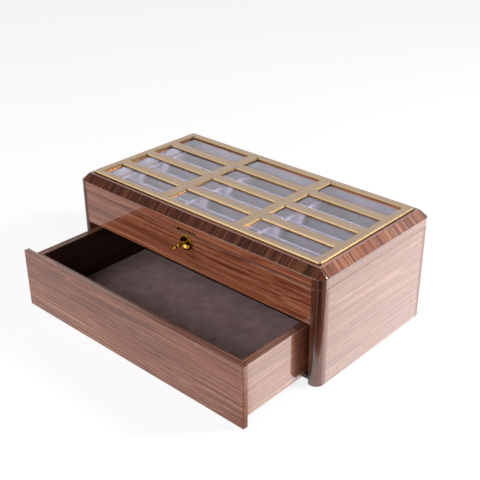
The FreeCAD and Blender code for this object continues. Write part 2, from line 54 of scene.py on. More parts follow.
ROUND_FROM_X = LID_CORNER_HIGH[X] - CORNER_RADIUS
ROUND_FROM_Y = -FRONT_FACE - CORNER_RADIUS
JOINT_REACH = 0.0008
JOINT_DEPTH = 0.001
NOTCH_HALF = 0.0236
NOTCH_HEIGHT = 0.0064
NOTCH_FROM_FACE = 0.0004
NOTCH_DEPTH = 0.0085


# Small helpers for materials.

def linear(hex_colour):
    # One sRGB hex colour as linear light with full opacity.
    result = []
    for start in (0, 2, 4):
        value = int(hex_colour[start:start + 2], 16) / 255
        result.append(value / 12.92 if value <= 0.04045 else ((value + 0.055) / 1.055) ** 2.4)
    return (result[0], result[1], result[2], 1.0)


def new_material(name):
    material = bpy.data.materials.new(name)
    material.use_nodes = True
    material.node_tree.nodes.clear()
    return material


def node(tree, kind, settings=None, **links):
    # Adds one node; settings go on its attributes, links to its sockets by name or number.
    made = tree.nodes.new(kind)
    for key, value in (settings or {}).items():
        setattr(made, key, value)
    for key, value in links.items():
        by_number = key[0] == "i" and key[1:].isdigit()
        socket = made.inputs[int(key[1:])] if by_number else made.inputs[key.replace("_", " ")]
        if isinstance(value, bpy.types.NodeSocket):
            tree.links.new(value, socket)
        else:
            socket.default_value = value
    return made


def ramp(tree, factor, stops):
    # Colours, or grey levels where a stop has a number, along a factor.
    made = node(tree, "ShaderNodeValToRGB", i0=factor)
    while len(made.color_ramp.elements) > 1:
        made.color_ramp.elements.remove(made.color_ramp.elements[0])
    first = True
    for place, colour in stops:
        element = made.color_ramp.elements[0] if first else made.color_ramp.elements.new(place)
        element.position = place
        element.color = linear(colour) if isinstance(colour, str) else (colour, colour, colour, 1)
        first = False
    return made.outputs[0]


def calculate(tree, operation, a, b=0.0, c=0.0):
    return node(tree, "ShaderNodeMath", {"operation": operation}, i0=a, i1=b, i2=c).outputs[0]


def vector(tree, operation, a, b):
    return node(tree, "ShaderNodeVectorMath", {"operation": operation}, i0=a, i1=b).outputs[0]


def part(tree, place, axis):
    # One coordinate of a place or a direction.
    return node(tree, "ShaderNodeSeparateXYZ", i0=place).outputs[axis]


def mix(tree, factor, a, b, blend="MIX"):
    settings = {"data_type": "RGBA", "blend_type": blend}
    return node(tree, "ShaderNodeMix", settings, i0=factor, i6=a, i7=b).outputs[2]


def fade(tree, value, start, end):
    # 0 below start and 1 above end, with a soft turn between.
    settings = {"interpolation_type": "SMOOTHSTEP"}
    return node(tree, "ShaderNodeMapRange", settings, i0=value, i1=start, i2=end).outputs[0]


def noise(tree, place, scale, detail=2.0, roughness=0.5):
    scaled = vector(tree, "MULTIPLY", place, scale)
    return node(tree, "ShaderNodeTexNoise", Vector=scaled, Scale=1.0, Detail=detail,
                Roughness=roughness).outputs[0]


def finish_material(material, colour, bump=None, bump_depth=0.0, **sockets):
    # The shader and output that every solid finish ends in.
    tree = material.node_tree
    shader = node(tree, "ShaderNodeBsdfPrincipled", Base_Color=colour, **sockets)
    if bump is not None:
        relief = node(tree, "ShaderNodeBump", Strength=1.0, Distance=bump_depth, Height=bump)
        tree.links.new(relief.outputs[0], shader.inputs["Normal"])
    node(tree, "ShaderNodeOutputMaterial", Surface=shader.outputs[0])
    return material


def object_place(tree, offset=(0, 0, 0)):
    coordinates = node(tree, "ShaderNodeTexCoord")
    return vector(tree, "ADD", coordinates.outputs["Object"], offset)


def surface_direction(tree, axis):
    # How far the surface faces along an axis of the object, from -1 to 1.
    return part(tree, node(tree, "ShaderNodeTexCoord").outputs["Normal"], axis)


def grain_scale(fine_axes, width, length):
    # Pattern scale for X, Y and Z from real sizes in millimetres: width across the
    # grain on the fine axes, length along it on the others.
    return tuple(1000 / (width if axis in fine_axes else length) for axis in (X, Y, Z))


def even_scale(size):
    # Pattern scale of a grain without direction, from its size in millimetres.
    return grain_scale((X, Y, Z), size, size)


# Walnut. The figure's lengths run along the grain and its widths across it, in millimetres.
WANDER_WIDTH = 90
WANDER_LENGTH = 300
STREAK_LENGTH = 520
HAIR_LENGTH = 150
BAND_LENGTH = 650
LINE_LENGTH = 900
PORE_WIDTH = 1.1
PORE_LENGTH = 11
HAIR_SHARE = 0.42
PORE_STRENGTH = 0.4

# Clear polyester lacquer over the wood: sharp reflections above a satin ground.
LACQUER = {"Roughness": 0.45, "Specular_IOR_Level": 0.08, "Coat_Weight": 1.0,
           "Coat_Roughness": 0.02, "Coat_IOR": 1.6}
POST_COAT = 0.6
BOX_LONG_COAT = 0.5
BOX_LEFT_COAT = 0.4

# One tone for each cut of the wood: how far the grain wanders, the widths of its streaks,
# hairs, bands and lines in millimetres, and its colours.
FRONT_TONE = {"wander": 8, "streak": 2.6, "hair": 1.3, "band": 22, "band_strength": 0.55,
              "line": 5, "line_strength": 0.45,
              "ramp": [(0.36, "5e2a1a"), (0.46, "96503a"), (0.54, "ae6446"), (0.64, "d2906a")],
              "band_colour": "96706c", "line_colour": "dc9c76", "pore_colour": "3c1c12"}
DRAWER_TONE = dict(FRONT_TONE, wander=14, streak=2.4, band=34)
# The sides' cuts are paler than the front's, partly their own tone and partly painted light for the lamp
# on the right; the right drawer side's is paler still, partly painted light.
SIDE_TONE = dict(FRONT_TONE, wander=10, streak=3.2, hair=1.7, line=8, line_strength=0.4,
                 band=60, band_strength=0.16, line_colour="f0bc92",
                 ramp=[(0.34, "824838"), (0.46, "945642"), (0.54, "a06248"), (0.66, "b47c62")])
DRAWER_SIDE_TONE = dict(SIDE_TONE,
                        ramp=[(0.34, "8e523e"), (0.46, "a2604a"), (0.54, "b07052"), (0.66, "c48c6c")])
POST_TONE = dict(FRONT_TONE, streak=2.2, line=9, band=20, band_strength=0.3, line_strength=0.15,
                 ramp=[(0.38, "34150c"), (0.47, "4e2417"), (0.54, "623221"), (0.63, "7a4632")])
# A paler copy of the post's wood, blended in as painted light.
LIT_POST_TONE = dict(POST_TONE,
                      ramp=[(0.38, "743e2e"), (0.47, "8c5040"), (0.54, "9c604c"), (0.63, "b07860")])
BEVEL_TONE = dict(FRONT_TONE, wander=2, streak=3.2, hair=1.6, band=24, line=11, line_strength=0.4,
                  line_colour="b06a44",
                  ramp=[(0.36, "38160c"), (0.45, "502413"), (0.54, "622e1b"), (0.64, "82482e")])
# The side bevels are paler than the front bevels, partly their own tone and partly painted light for the
# lamp on the right.
SIDE_BEVEL_TONE = dict(BEVEL_TONE, streak=2.6, hair=1.4, line=9, line_strength=0.45,
                       line_colour="e6b088",
                       ramp=[(0.36, "5c2a1a"), (0.45, "8c4a32"), (0.54, "a05e42"), (0.64, "c08462")])
# Painted shade: a near-black copy of the wood for the drawer's inner faces and the base board.
SHADE_TONE = dict(FRONT_TONE, line_strength=0.2, line_colour="6a4230",
                 ramp=[(0.36, "1c0d08"), (0.46, "301810"), (0.54, "3c2016"), (0.64, "563122")])
# Painted shade: a darker mauve-brown copy of the wood for the drawer's top edges.
TOP_EDGE_SHADE_TONE = dict(FRONT_TONE,
                 ramp=[(0.36, "523028"), (0.46, "684036"), (0.54, "764c40"), (0.64, "8e6252")])
# Painted reflection: a pale lilac copy of the wood for the flat border beside the brass.
BORDER_REFLECTION_TONE = dict(FRONT_TONE, line_strength=0.15,
                   ramp=[(0.36, "8a625a"), (0.46, "9a7068"), (0.54, "a67e76"), (0.64, "b89086")])
# Painted shade at the lid's joint.
JOINT_SHADE = "2c150d"
# Painted shade with a warm painted glow of brass inside the finger notch.
NOTCH_SHADE_AND_GLOW = "6e3c18"

# Where a drawer board counts as a top edge or as its inner face, both painted in shade, and where
# a post turns pale with painted light: by how far its surface faces sideways, and lower down by its
# height in metres.
TOP_EDGE_FACING = 0.9
INNER_FACING = -0.001
POST_LIGHT_TURN = (0.72, 0.95)
POST_FOOT_LIGHT_TURN = (0.35, 0.80)
POST_FOOT_LIGHT_HEIGHT = (0.04, 0.14)

# Where in the figure each group of boards is cut, in metres.
DRAWER_FRONT_CUT = (0.3, 0.1, 0.2)
DRAWER_BOX_CUT = (0.5, 0.2, 0.1)
BASE_CUT = (0.4, 0.2, 0.6)
BOARD_CUT = (0.9, 0.2, 0.6)


def veneer_pattern(tree, place, fine, tone):
    # American walnut: fine pale lines a few millimetres apart, broader dark and
    # mauve bands, and short dark pores, all drawn out along the grain.
    wander = noise(tree, place, grain_scale(fine, WANDER_WIDTH, WANDER_LENGTH))
    wander = calculate(tree, "SUBTRACT", wander, 0.5)
    wander = calculate(tree, "MULTIPLY", wander, tone["wander"] / 1000)
    shift = node(tree, "ShaderNodeCombineXYZ")
    for axis in fine:
        tree.links.new(wander, shift.inputs[axis])
    place = vector(tree, "ADD", place, shift.outputs[0])
    streak = noise(tree, place, grain_scale(fine, tone["streak"], STREAK_LENGTH), 3.0, 0.6)
    hair = noise(tree, place, grain_scale(fine, tone["hair"], HAIR_LENGTH))
    body = calculate(tree, "MULTIPLY", streak, 1 - HAIR_SHARE)
    body = calculate(tree, "MULTIPLY_ADD", hair, HAIR_SHARE, body)
    colour = ramp(tree, body, tone["ramp"])
    band = noise(tree, place, grain_scale(fine, tone["band"], BAND_LENGTH))
    band = ramp(tree, band, [(0.36, 1.0), (0.60, 0.0)])
    band = calculate(tree, "MULTIPLY", band, tone["band_strength"])
    colour = mix(tree, band, colour, linear(tone["band_colour"]), "MULTIPLY")
    line = noise(tree, place, grain_scale(fine, tone["line"], LINE_LENGTH), 1.0)
    line = ramp(tree, line, [(0.43, 0.0), (0.475, 1.0), (0.52, 0.0)])
    line = calculate(tree, "MULTIPLY", line, tone["line_strength"])
    colour = mix(tree, line, colour, linear(tone["line_colour"]))
    pore = noise(tree, place, grain_scale(fine, PORE_WIDTH, PORE_LENGTH), 1.0)
    pore = ramp(tree, pore, [(0.34, 1.0), (0.42, 0.0)])
    pore = calculate(tree, "MULTIPLY", pore, PORE_STRENGTH)
    return mix(tree, pore, colour, linear(tone["pore_colour"]))


def above(tree, place, level):
    return calculate(tree, "GREATER_THAN", part(tree, place, Z), level)


def joint_shade_line(tree):
    # Painted shade: where lid and cabinet meet at the front, their rounded edges are painted dark.
    place = object_place(tree)
    away = calculate(tree, "ABSOLUTE", calculate(tree, "SUBTRACT", part(tree, place, Z), LID_JOINT))
    near = calculate(tree, "LESS_THAN", away, JOINT_REACH)
    front = calculate(tree, "LESS_THAN", part(tree, place, Y), FRONT_FACE + JOINT_DEPTH)
    return calculate(tree, "MULTIPLY", near, front)


def notch_painted_light_mask(tree, place):
    # The inside of the finger notch under the front of the lid, painted deep amber-brown as painted
    # shade with a warm painted reflection of the brass.
    sideways = calculate(tree, "ABSOLUTE", part(tree, place, X))
    narrow = calculate(tree, "LESS_THAN", sideways, NOTCH_HALF)
    inside = calculate(tree, "GREATER_THAN", part(tree, place, Y), FRONT_FACE + NOTCH_FROM_FACE)
    shallow = calculate(tree, "LESS_THAN", part(tree, place, Y), FRONT_FACE + NOTCH_DEPTH)
    low = calculate(tree, "LESS_THAN", part(tree, place, Z), LID_LOW + NOTCH_HEIGHT)
    return calculate(tree, "MULTIPLY", calculate(tree, "MULTIPLY", narrow, inside),
                     calculate(tree, "MULTIPLY", shallow, low))


def walnut(name, fine, tone, offset=(0, 0, 0)):
    # Walnut veneer under clear lacquer: warm, finely lined wood with a hard wet shine.
    material = new_material(name)
    tree = material.node_tree
    colour = veneer_pattern(tree, object_place(tree, offset), fine, tone)
    colour = mix(tree, joint_shade_line(tree), colour, linear(JOINT_SHADE))
    return finish_material(material, colour, **LACQUER)


def drawer_walnut(name, fine, tone, offset, coat=1.0, across=None, middle=0.0):
    # Drawer wood: figured veneer outside, painted shade as a darker copy on the top edges, and
    # painted shade as a near-black copy on the faces that look inwards along the axis across.
    material = new_material(name)
    tree = material.node_tree
    place = object_place(tree, offset)
    outside = veneer_pattern(tree, place, fine, tone)
    # Painted shade on the faces that look up.
    edges = veneer_pattern(tree, place, fine, TOP_EDGE_SHADE_TONE)
    upwards = calculate(tree, "GREATER_THAN", surface_direction(tree, Z), TOP_EDGE_FACING)
    colour = mix(tree, upwards, outside, edges)
    if across is not None:
        painted_shade = veneer_pattern(tree, place, fine, SHADE_TONE)
        from_middle = calculate(tree, "SUBTRACT", part(tree, object_place(tree), across), middle)
        outwards = calculate(tree, "MULTIPLY", from_middle, surface_direction(tree, across))
        colour = mix(tree, calculate(tree, "LESS_THAN", outwards, INNER_FACING), colour, painted_shade)
    return finish_material(material, colour, **dict(LACQUER, Coat_Weight=coat))


def post_pattern_painted_light(tree, place):
    # Upright walnut with painted light: it turns to a paler copy of the wood round the corner
    # towards the side of the box, and nearer to the front at its foot.
    dark = veneer_pattern(tree, place, (X, Y), POST_TONE)
    pale = veneer_pattern(tree, place, (X, Y), LIT_POST_TONE)
    sideways = calculate(tree, "ABSOLUTE", surface_direction(tree, X))
    low = calculate(tree, "SUBTRACT", 1.0, fade(tree, part(tree, place, Z), *POST_FOOT_LIGHT_HEIGHT))
    low = calculate(tree, "MULTIPLY", low, fade(tree, sideways, *POST_FOOT_LIGHT_TURN))
    factor = calculate(tree, "MAXIMUM", fade(tree, sideways, *POST_LIGHT_TURN), low)
    return mix(tree, factor, dark, pale)


def post_walnut(name):
    # A corner post, with a thinner coat of lacquer than the panels beside it.
    material = new_material(name)
    tree = material.node_tree
    # Its colour holds the post's painted light.
    colour = post_pattern_painted_light(tree, object_place(tree))
    return finish_material(material, colour, **dict(LACQUER, Coat_Weight=POST_COAT))


def rail_walnut(name, along, across, band_tone, bevel_tone):
    # A lid rail: the band's grain runs along the rail, the bevel's up the slope, and the
    # flat border beside the brass is a pale lilac painted reflection with its grain along the rail.
    material = new_material(name)
    tree = material.node_tree
    place = object_place(tree)
    band = veneer_pattern(tree, place, (across, Z), band_tone)
    bevel = veneer_pattern(tree, place, (along,), bevel_tone)
    painted_border = veneer_pattern(tree, place, (across, Z), BORDER_REFLECTION_TONE)
    colour = mix(tree, above(tree, place, BAND_TOP), band, bevel)
    colour = mix(tree, above(tree, place, BEVEL_TOP), colour, painted_border)
    colour = mix(tree, joint_shade_line(tree), colour, linear(JOINT_SHADE))
    colour = mix(tree, notch_painted_light_mask(tree, place), colour, linear(NOTCH_SHADE_AND_GLOW))
    return finish_material(material, colour, **LACQUER)


def corner_walnut(name):
    # A lid corner: upright grain on the round band, and above it strips of veneer that
    # run parallel to the two mitres, so they meet in a V on the cone.
    material = new_material(name)
    tree = material.node_tree
    place = object_place(tree)
    # The round band carries the post's painted light.
    band = post_pattern_painted_light(tree, place)
    from_x = calculate(tree, "ABSOLUTE", part(tree, place, X))
    from_y = calculate(tree, "ABSOLUTE", part(tree, place, Y))
    past_x = calculate(tree, "SUBTRACT", from_x, ROUND_FROM_X)
    past_y = calculate(tree, "SUBTRACT", from_y, ROUND_FROM_Y)
    strip = node(tree, "ShaderNodeCombineXYZ", i0=calculate(tree, "MINIMUM", past_x, past_y))
    bevel = veneer_pattern(tree, strip.outputs[0], (X,), BEVEL_TONE)
    # The flat border on top is a painted reflection.
    painted_border = veneer_pattern(tree, place, (X, Z), BORDER_REFLECTION_TONE)
    colour = mix(tree, above(tree, place, BAND_TOP), band, bevel)
    colour = mix(tree, above(tree, place, BEVEL_TOP), colour, painted_border)
    return finish_material(material, colour, **LACQUER)


# Fabrics, metals and glass. Sizes of their grain in millimetres, depths in metres.
NAP_SIZE = 0.7
NAP_DEPTH = 0.00012
NAP_SHADE = 0.25
STROKE_SIZE = 22
SCRATCH_WIDTH = 0.8
SCRATCH_LENGTH = 60
TARNISH_SIZE = 5
MARK_SIZE = 0.6
MARK_DEPTH = 0.00001
MARK_ROUGHNESS = 0.1
FLAT_FACING = 0.995
WALL_FACING = 0.1
RIGHT_SHADE_FACING = (0.3, 0.6)
SATIN_ROUGHNESS = 0.48
WALL_ROUGHNESS = 0.18


def suede(name, colour, shade, sheen):
    # Suede: short brushed nap, soft sheen at grazing sight, faint uneven tone.
    material = new_material(name)
    tree = material.node_tree
    place = object_place(tree)
    nap = noise(tree, place, even_scale(NAP_SIZE), 3.0, 0.6)
    stroke = noise(tree, place, even_scale(STROKE_SIZE), 3.0, 0.55)
    tone = mix(tree, fade(tree, stroke, 0.25, 0.75), linear(shade), linear(colour))
    tone = mix(tree, calculate(tree, "MULTIPLY", nap, NAP_SHADE), tone, linear(shade))
    return finish_material(material, tone, nap, NAP_DEPTH, Roughness=0.92, Specular_IOR_Level=0.2,
                           Sheen_Weight=sheen, Sheen_Roughness=0.45)


def brushed_brass(name):
    # Brass sheet: pale and brushed along X on its flat top, yellower on the slanted edges
    # and in the windows, with painted shade: darker on the slopes that face right and brown on the low
    # wall.
    material = new_material(name)
    tree = material.node_tree
    grain = grain_scale((Y, Z), SCRATCH_WIDTH, SCRATCH_LENGTH)
    scratch = noise(tree, object_place(tree), grain, 3.0, 0.7)
    upwards = surface_direction(tree, Z)
    flat = calculate(tree, "GREATER_THAN", upwards, FLAT_FACING)
    upright = calculate(tree, "LESS_THAN", calculate(tree, "ABSOLUTE", upwards), WALL_FACING)
    # Painted shade on the slopes that face right, against the lamp's highlight, and on the upright
    # walls.
    right = fade(tree, surface_direction(tree, X), *RIGHT_SHADE_FACING)
    slope = mix(tree, right, linear("cab086"), linear("786648"))
    colour = mix(tree, upright, slope, linear("6a4628"))
    tone = ramp(tree, scratch, [(0.3, "ccae90"), (0.5, "dec3aa"), (0.7, "ecd6c2")])
    colour = mix(tree, flat, colour, tone)
    rough = calculate(tree, "MULTIPLY_ADD", upright, WALL_ROUGHNESS - SATIN_ROUGHNESS, SATIN_ROUGHNESS)
    return finish_material(material, colour, Metallic=1.0, Roughness=rough)


def turned_metal(name, colour, shade, roughness):
    # Turned and polished metal with faint tarnish and turning marks.
    material = new_material(name)
    tree = material.node_tree
    place = object_place(tree)
    tarnish = noise(tree, place, even_scale(TARNISH_SIZE), 3.0)
    mark = noise(tree, place, even_scale(MARK_SIZE))
    tone = mix(tree, tarnish, linear(colour), linear(shade))
    rough = calculate(tree, "MULTIPLY_ADD", mark, MARK_ROUGHNESS, roughness)
    return finish_material(material, tone, mark, MARK_DEPTH, Metallic=1.0, Roughness=rough)


def clear_glass(name):
    # Float glass: all but colourless, with a trace of lilac; lamps pass through it.
    material = new_material(name)
    tree = material.node_tree
    shader = node(tree, "ShaderNodeBsdfPrincipled", Base_Color=linear("fbf9fd"), Roughness=0.0,
                  Transmission_Weight=1.0, IOR=1.5)
    passing = node(tree, "ShaderNodeBsdfTransparent", Color=linear("f8f6fa"))
    path = node(tree, "ShaderNodeLightPath")
    both = node(tree, "ShaderNodeMixShader", i0=path.outputs["Is Shadow Ray"],
                i1=shader.outputs[0], i2=passing.outputs[0])
    node(tree, "ShaderNodeOutputMaterial", Surface=both.outputs[0])
    return material


# Soft pieces: suede drawn over card and thin foam, with sizes in metres.
DIVIDER_COVER = {"step": 0.012, "radius": 0.0006, "top_radius": 0.0034, "uneven": 0.0005}
LINING_COVER = {"step": 0.012, "radius": 0.0006, "top_radius": 0.0009, "uneven": 0.0004}
PAD_COVER = {"step": 0.01, "radius": 0.0008, "top_radius": 0.0009, "uneven": 0.0002,
             "crown": 0.0009}
DRAWER_COVER = {"step": 0.012, "radius": 0.0004, "top_radius": 0.0006, "uneven": 0.0004}
FELT_COVER = {"step": 0.02, "radius": 0.0002, "top_radius": 0.0002, "uneven": 0.0}
LID_COVER = {"step": 0.012, "radius": 0.0002, "top_radius": 0.0003, "uneven": 0.0001}
LID_SKIN = 0.0008
WAVES_PER_METRE = 45
EDGE_SEGMENTS = 4
SMOOTH_DEGREES = 35
SAME_PLACE = 1e-6


def select_edges(board, chosen):
    bpy.ops.object.mode_set(mode="EDIT")
    bpy.ops.mesh.select_mode(type="EDGE")
    bpy.ops.mesh.select_all(action="DESELECT")
    bpy.ops.object.mode_set(mode="OBJECT")
    places = board.data.vertices
    for edge in board.data.edges:
        edge.select = chosen(places[edge.vertices[0]].co, places[edge.vertices[1]].co)


def cut_lengths(board, axis, count):
    # Cuts a board into equal lengths along one axis, so that its skin can bend.
    if count == 0:
        return
    select_edges(board, lambda a, b: abs(a[axis] - b[axis]) > 0.9 * (a - b).length)
    bpy.ops.object.mode_set(mode="EDIT")
    bpy.ops.mesh.subdivide(number_cuts=count)
    bpy.ops.object.mode_set(mode="OBJECT")


def round_edges(board, low, high, radius, top_radius):
    # Rounds the twelve edges of a board, the upper ones with their own radius.
    weight = board.data.attributes.new("bevel_weight_edge", "FLOAT", "EDGE")
    widest = max(radius, top_radius)
    places = board.data.vertices
    for edge in board.data.edges:
        a, b = (places[index].co for index in edge.vertices)
        middle = (a + b) / 2
        outer = [min(middle[axis] - low[axis], high[axis] - middle[axis]) < SAME_PLACE
                 for axis in (X, Y, Z)]
        if sum(outer) >= 2:
            at_top = outer[Z] and high[Z] - middle[Z] < SAME_PLACE
            weight.data[edge.index].value = (top_radius if at_top else radius) / widest
    bevel = board.modifiers.new("edges", "BEVEL")
    bevel.limit_method = "WEIGHT"
    bevel.width = widest
    bevel.segments = EDGE_SEGMENTS
    bpy.ops.object.modifier_apply(modifier=bevel.name)


def draw_skin(board, low, high, uneven, crown):
    # Draws the skin in by an uneven amount, and raises the middle of the top by the crown.
    size = high - low
    for point in board.data.vertices:
        pull = 0.5 + 0.5 * field.noise(point.co * WAVES_PER_METRE)
        point.co -= point.normal * pull * uneven
        if crown and point.co[Z] > (low[Z] + high[Z]) / 2:
            along = min(max((point.co[X] - low[X]) / size[X], 0), 1)
            back = min(max((point.co[Y] - low[Y]) / size[Y], 0), 1)
            rise = math.sin(math.pi * along) * math.sin(math.pi * back)
            point.co[Z] += crown * rise ** 0.5


def soft_board(low, high, step, radius, top_radius, uneven, crown=0.0):
    # One covered board: a block at its size, cut into short lengths, its edges rounded
    # as fabric pulled over card, and its faces drawn slightly in and out.
    low = Vector(low)
    high = Vector(high)
    bpy.ops.object.select_all(action="DESELECT")
    bpy.ops.mesh.primitive_cube_add(size=1, location=(low + high) / 2)
    board = bpy.context.object
    board.scale = high - low
    bpy.ops.object.transform_apply(location=True, rotation=False, scale=True)
    for axis in (X, Y, Z):
        cut_lengths(board, axis, int((high[axis] - low[axis]) / step))
    round_edges(board, low, high, radius, top_radius)
    draw_skin(board, low, high, uneven, crown)
    return board


def covered(name, boards, body, slot, *replaced):
    # Joins boards into one named piece that rides on a body and stands for CAD nodes.
    bpy.ops.object.select_all(action="DESELECT")
    for board in boards:
        board.select_set(True)
    bpy.context.view_layer.objects.active = boards[0]
    if len(boards) > 1:
        bpy.ops.object.join()
    piece = bpy.context.object
    piece.name = name
    bpy.ops.object.shade_smooth_by_angle(angle=math.radians(SMOOTH_DEGREES))
    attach(piece, body)
    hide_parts(*replaced)
    return piece


def inner_box(name):
    low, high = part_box(name)
    return Vector(low), Vector(high)


def column_spans():
    # The three ranges of X between the linings and the column dividers.
    edges = [inner_box("tray_lining_left")[1][X]]
    for side in ("left", "right"):
        low, high = inner_box("column_divider_" + side)
        edges += [low[X], high[X]]
    edges.append(inner_box("tray_lining_right")[0][X])
    return list(zip(edges[0::2], edges[1::2]))


def row_spans():
    # The four ranges of Y between the linings and the row dividers.
    edges = [inner_box("tray_lining_front")[1][Y]]
    for number in (1, 2, 3):
        low, high = inner_box("row_divider_" + str(number))
        edges += [low[Y], high[Y]]
    edges.append(inner_box("tray_lining_back")[0][Y])
    return list(zip(edges[0::2], edges[1::2]))


def divider_suede():
    for number in (1, 2, 3):
        node_name = "row_divider_" + str(number)
        low, high = inner_box(node_name)
        boards = [soft_board((x0, low[Y], low[Z]), (x1, high[Y], high[Z]), **DIVIDER_COVER)
                  for x0, x1 in column_spans()]
        cover = covered("suede_row_" + str(number), boards, "cabinet", "suede", node_name)
    for side in ("left", "right"):
        node_name = "column_divider_" + side
        boards = [soft_board(*inner_box(node_name), **DIVIDER_COVER)]
        cover = covered("suede_column_" + side, boards, "cabinet", "suede", node_name)


def lining_suede():
    for side in ("left", "right", "front", "back"):
        node_name = "tray_lining_" + side
        boards = [soft_board(*inner_box(node_name), **LINING_COVER)]
        cover = covered("suede_lining_" + side, boards, "cabinet", "suede", node_name)


def compartment_suede():
    # One crowned pad on the floor of each of the twelve compartments.
    low, high = inner_box("tray_floor_lining")
    pads = []
    for x0, x1 in column_spans():
        for y0, y1 in row_spans():
            pads.append(soft_board((x0, y0, low[Z]), (x1, y1, high[Z]), **PAD_COVER))
    cover = covered("suede_compartment_pads", pads, "cabinet", "suede", "tray_floor_lining")


def drawer_suede():
    low, high = inner_box("drawer_suede")
    boards = [soft_board(low, high, **DRAWER_COVER)]
    cloth = covered("suede_drawer_floor", boards, "drawer", "drawer_suede", "drawer_suede")


def base_felt():
    low, high = inner_box("base_felt")
    boards = [soft_board(low, high, **FELT_COVER)]
    cloth = covered("felt_under_base", boards, "cabinet", "base_felt", "base_felt")


def lid_suede():
    # One strip round the inside of the lid: front, back, left and right.
    low, high = inner_box("lid_lining")
    front = low[Y] + LID_SKIN
    back = high[Y] - LID_SKIN
    boards = [soft_board(low, (high[X], front, high[Z]), **LID_COVER),
              soft_board((low[X], back, low[Z]), high, **LID_COVER),
              soft_board((low[X], front, low[Z]), (low[X] + LID_SKIN, back, high[Z]), **LID_COVER),
              soft_board((high[X] - LID_SKIN, front, low[Z]), (high[X], back, high[Z]), **LID_COVER)]
    cloth = covered("suede_lid_lining", boards, "lid", "suede", "lid_lining")


divider_suede()
lining_suede()
compartment_suede()
drawer_suede()
base_felt()
lid_suede()


# Each piece gets its material.

def give(material, *names):
    for name in names:
        piece = nodes[name] if name in nodes else bpy.data.objects[name]
        if len(piece.material_slots) == 0:
            piece.data.materials.append(material)
        for slot in piece.material_slots:
            slot.material = material


def each_corner(name):
    return [name + "_" + corner for corner in ("front_left", "front_right", "back_left", "back_right")]


drawer_low, drawer_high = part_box("drawer_bottom")
drawer_middle = (drawer_low[Y] + drawer_high[Y]) / 2
give(walnut("lacquered_walnut_front", (Y, Z), FRONT_TONE), "upper_front_panel", "back_panel")
give(drawer_walnut("lacquered_walnut_drawer", (Y, Z), DRAWER_TONE, DRAWER_FRONT_CUT), "drawer_front")
give(walnut("lacquered_walnut_side", (X, Z), SIDE_TONE), "side_panel_left", "side_panel_right")
give(post_walnut("lacquered_walnut_post"), *each_corner("corner_post"))
give(rail_walnut("lacquered_walnut_long_rail", X, Y, FRONT_TONE, BEVEL_TONE),
     "lid_rail_front", "lid_rail_back")
give(rail_walnut("lacquered_walnut_side_rail", Y, X, SIDE_TONE, SIDE_BEVEL_TONE),
     "lid_rail_left", "lid_rail_right")
give(corner_walnut("lacquered_walnut_lid_corner"), *each_corner("lid_corner"))
give(drawer_walnut("walnut_drawer_box_long", (Y, Z), FRONT_TONE, DRAWER_BOX_CUT, BOX_LONG_COAT,
                   Y, drawer_middle), "drawer_sub_front", "drawer_back")
give(drawer_walnut("walnut_drawer_box_left", (X, Z), SIDE_TONE, DRAWER_BOX_CUT, BOX_LEFT_COAT, X),
     "drawer_side_left")
give(drawer_walnut("walnut_drawer_box_right", (X, Z), DRAWER_SIDE_TONE, DRAWER_BOX_CUT, across=X),
     "drawer_side_right")
# The base board takes painted shade, as it lies in shade under the drawer.
give(walnut("walnut_base_painted_shade", (Y, Z), SHADE_TONE, BASE_CUT), "base_panel")
give(walnut("plain_walnut_board", (Y, Z), FRONT_TONE, BOARD_CUT), "tray_shelf", "drawer_bottom",
     "drawer_guide_left", "drawer_guide_right", "drawer_kicker_left", "drawer_kicker_right",
     "drawer_stops", "glass_ledge")
give(suede("lilac_grey_suede", "a09aac", "8e889c", 0.15),
     "suede_row_1", "suede_row_2", "suede_row_3", "suede_column_left", "suede_column_right",
     "suede_lining_left", "suede_lining_right", "suede_lining_front", "suede_lining_back",
     "suede_compartment_pads", "suede_lid_lining")
give(suede("mauve_suede", "a58684", "876a69", 0.5), "suede_drawer_floor")
give(suede("black_felt", "2a282b", "1a191c", 0.2), "felt_under_base", "glide_strips")
give(brushed_brass("brushed_brass"), "window_frame")
give(turned_metal("polished_brass", "c29a3c", "8e6c26", 0.10), "escutcheon_cup", "key", "lock_barrel")
# A darker brass for the lock's plates, partly painted shade for the plate seen in the finger notch.
give(turned_metal("lock_brass_painted_shade", "8e7040", "5c4626", 0.12), "lock_selvedge", "link_plate")
give(turned_metal("brass_sheet", "cdab66", "a98848", 0.26),
     "hinge_leaf_cabinet_left", "hinge_leaf_cabinet_right", "hinge_leaf_lid_left",
     "hinge_leaf_lid_right", "hinge_pins", "cabinet_screws", "lid_screws")
give(turned_metal("pressed_steel", "a8a8aa", "87878a", 0.32), "lock_case", "lock_bolt")
give(clear_glass("float_glass"), "glass_pane")


# Camera, floor, surroundings and lamps. The viewpoint is solved from the picture: angles
# in degrees, the place in metres, the focal length in pixels and the sensor in millimetres.
CAMERA_AZIMUTH = 42.652
CAMERA_ELEVATION = 27.796
CAMERA_ROLL = -0.410
CAMERA_PLACE = (0.92115, -1.01771, 0.8290)
FOCAL_PIXELS = 864.42
PICTURE_PIXELS = 480
SENSOR_WIDTH = 36

# Light levels, where 1 is white: the room's own light, the heights as a sine between which
# the white sweep ends, and the floor to the camera and in reflections, where it is a painted reflection.
ROOM_LIGHT = 0.12
SWEEP_TOP = 0.50
DIM_FROM = 0.56
FLOOR_PAINTED_DIM = 0.05
FLOOR_LEFT = 0.90
FLOOR_PAINTED_LAMP_SIDE = 3.2
FLOOR_GLOW = 1.09
FLOOR_GLOW_SHARE = 0.9
FLOOR_SHADOW_SHARE = 0.12
FLOOR_SIZE = 12

